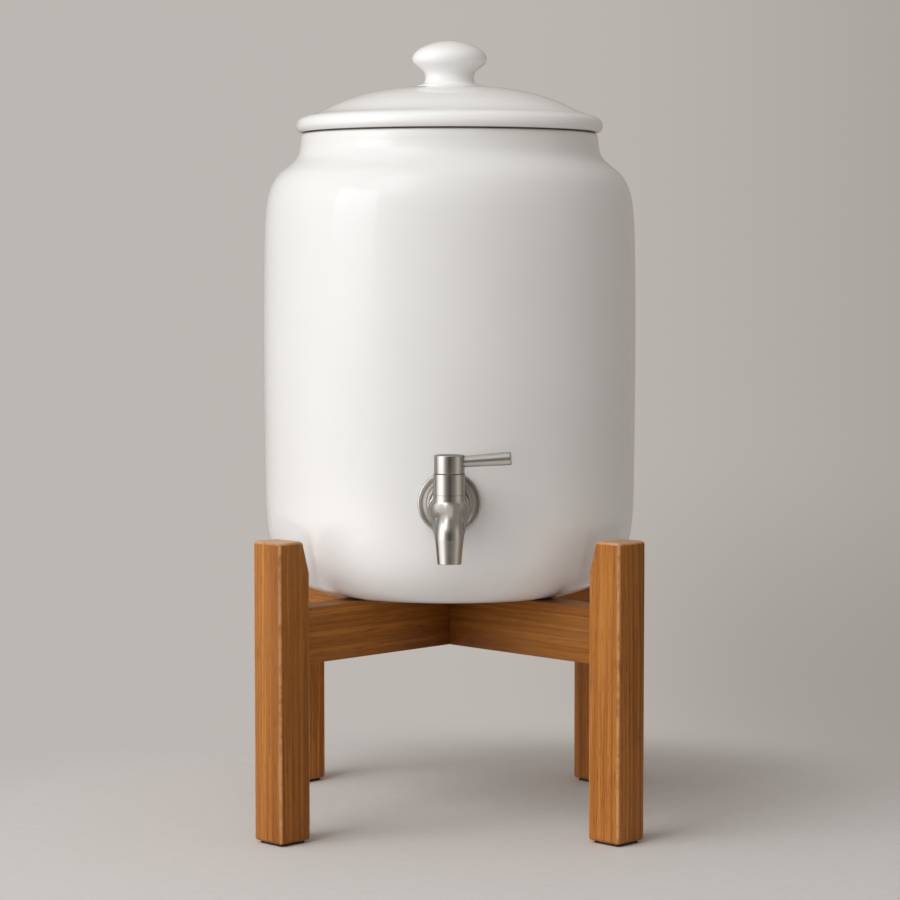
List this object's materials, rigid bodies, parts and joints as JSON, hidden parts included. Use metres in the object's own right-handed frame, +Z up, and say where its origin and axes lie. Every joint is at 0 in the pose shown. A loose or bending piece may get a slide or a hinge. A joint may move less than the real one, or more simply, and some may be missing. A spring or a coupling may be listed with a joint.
{
  "type": "clay water pot with tap",
  "caption": "Glazed ceramic water pot with a lift-off domed lid and a quarter-turn steel tap, standing on a cross-rail wooden stand.",
  "frame": {"origin": "on the floor, below the middle of the whole object's box; the pot's axis is 26 mm behind it", "axes": "+Z up, the tap points along -Y, +X to the right of someone facing the tap, the lever points along +X when closed"},
  "size_m": [0.24, 0.292, 0.4984],
  "materials": {
    "stand_wood": "warm mid-brown hardwood with straight grain, satin oil",
    "dowel_wood": "raw hardwood",
    "foot_rubber": "matte dark rubber",
    "white_glaze": "white gloss glaze",
    "tap_steel": "satin turned stainless steel",
    "silicone": "translucent white silicone",
    "seal_rubber": "black seal rubber",
    "valve_resin": "white bearing resin"
  },
  "bodies": {
    "stand": {"leg_front_left": "stand_wood", "leg_front_right": "stand_wood", "leg_rear_left": "stand_wood", "leg_rear_right": "stand_wood", "cross_rail_lower": "stand_wood", "cross_rail_upper": "stand_wood", "leg_dowels": "dowel_wood", "foot_pads": "foot_rubber"},
    "crock": {"crock": "white_glaze", "tap_body": "tap_steel", "tap_flange": "tap_steel", "outer_washer": "silicone", "inner_washer": "silicone", "steel_washer": "tap_steel", "back_nut": "tap_steel", "valve_sleeve": "valve_resin", "gland_nut": "tap_steel"},
    "lid": {"lid": "white_glaze"},
    "tap_handle": {"valve_stem": "tap_steel", "stem_o_rings": "seal_rubber", "handle_cap": "tap_steel", "lever": "tap_steel", "handle_screw": "tap_steel"}
  },
  "joints": [
    {"name": "crock_lift", "type": "slide", "parent": "stand", "child": "crock", "axis": [0, 0, 1], "range_m": [0, 0.06]},
    {"name": "lid_lift", "type": "slide", "parent": "crock", "child": "lid", "axis": [0, 0, 1], "range_m": [0, 0.08]},
    {"name": "tap_turn", "type": "hinge", "parent": "crock", "child": "tap_handle", "pos_m": [0, -0.124, 0.238], "axis": [0, 0, -1], "range_deg": [0, 90]}
  ]
}
